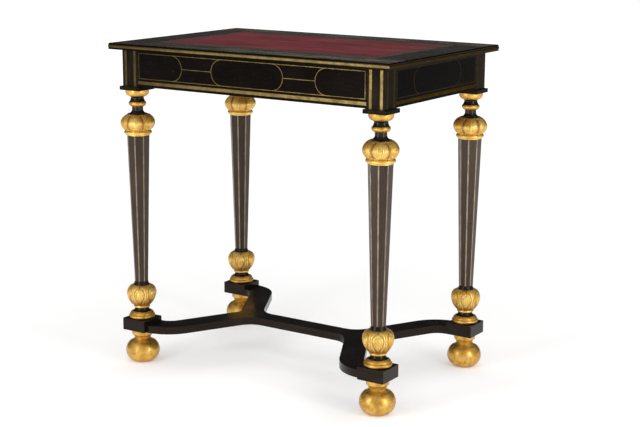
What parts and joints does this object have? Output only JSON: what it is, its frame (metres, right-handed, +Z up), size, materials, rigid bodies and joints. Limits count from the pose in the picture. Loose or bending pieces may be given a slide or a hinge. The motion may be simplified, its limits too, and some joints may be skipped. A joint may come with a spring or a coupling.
{
  "type": "centre table",
  "caption": "Ebonised and parcel-gilt centre table with brass inlay, a leather-inset top, turned and tapered legs, a flat serpentine stretcher and a hidden frieze drawer.",
  "frame": {"origin": "on the floor under the middle of the top", "axes": "+Z up, the long sides along X, the drawer opens towards -Y"},
  "size_m": [0.746, 0.49, 0.76],
  "materials": {
    "ebonised_wood": "polished black stain",
    "gilt_wood": "burnished water gilding, worn",
    "parcel_gilt_wood": "black stain with gilt mouldings",
    "brass": "dull aged brass",
    "leather": "worn dark red hide",
    "oak": "plain oak, oiled"
  },
  "bodies": {
    "table": {"corner_block_front_left": "ebonised_wood", "abacus_front_left": "ebonised_wood", "leg_neck_front_left": "parcel_gilt_wood", "leg_capital_front_left": "gilt_wood", "leg_shaft_front_left": "ebonised_wood", "leg_bulb_front_left": "gilt_wood", "leg_base_front_left": "parcel_gilt_wood", "stretcher_block_front_left": "ebonised_wood", "bun_foot_front_left": "gilt_wood", "stretcher_arm_front_left": "ebonised_wood", "corner_block_front_right": "ebonised_wood", "abacus_front_right": "ebonised_wood", "leg_neck_front_right": "parcel_gilt_wood", "leg_capital_front_right": "gilt_wood", "leg_shaft_front_right": "ebonised_wood", "leg_bulb_front_right": "gilt_wood", "leg_base_front_right": "parcel_gilt_wood", "stretcher_block_front_right": "ebonised_wood", "bun_foot_front_right": "gilt_wood", "stretcher_arm_front_right": "ebonised_wood", "corner_block_back_left": "ebonised_wood", "abacus_back_left": "ebonised_wood", "leg_neck_back_left": "parcel_gilt_wood", "leg_capital_back_left": "gilt_wood", "leg_shaft_back_left": "ebonised_wood", "leg_bulb_back_left": "gilt_wood", "leg_base_back_left": "parcel_gilt_wood", "stretcher_block_back_left": "ebonised_wood", "bun_foot_back_left": "gilt_wood", "stretcher_arm_back_left": "ebonised_wood", "corner_block_back_right": "ebonised_wood", "abacus_back_right": "ebonised_wood", "leg_neck_back_right": "parcel_gilt_wood", "leg_capital_back_right": "gilt_wood", "leg_shaft_back_right": "ebonised_wood", "leg_bulb_back_right": "gilt_wood", "leg_base_back_right": "parcel_gilt_wood", "stretcher_block_back_right": "ebonised_wood", "bun_foot_back_right": "gilt_wood", "stretcher_arm_back_right": "ebonised_wood", "block_strips": "brass", "shaft_strings": "brass", "apron_back": "ebonised_wood", "apron_left": "ebonised_wood", "apron_right": "ebonised_wood", "apron_inlay": "brass", "lower_rail": "oak", "upper_rail": "oak", "drawer_runners": "oak", "drawer_kickers": "oak", "top_board": "ebonised_wood", "leather_panel": "leather", "top_edge_band": "brass", "stretcher_bar": "ebonised_wood"},
    "drawer": {"drawer_front": "ebonised_wood", "drawer_side_left": "oak", "drawer_side_right": "oak", "drawer_back": "oak", "drawer_bottom": "oak", "drawer_inlay": "brass"}
  },
  "joints": [
    {"name": "drawer_slide", "type": "slide", "parent": "table", "child": "drawer", "axis": [0, -1, 0], "range_m": [0, 0.24]}
  ]
}
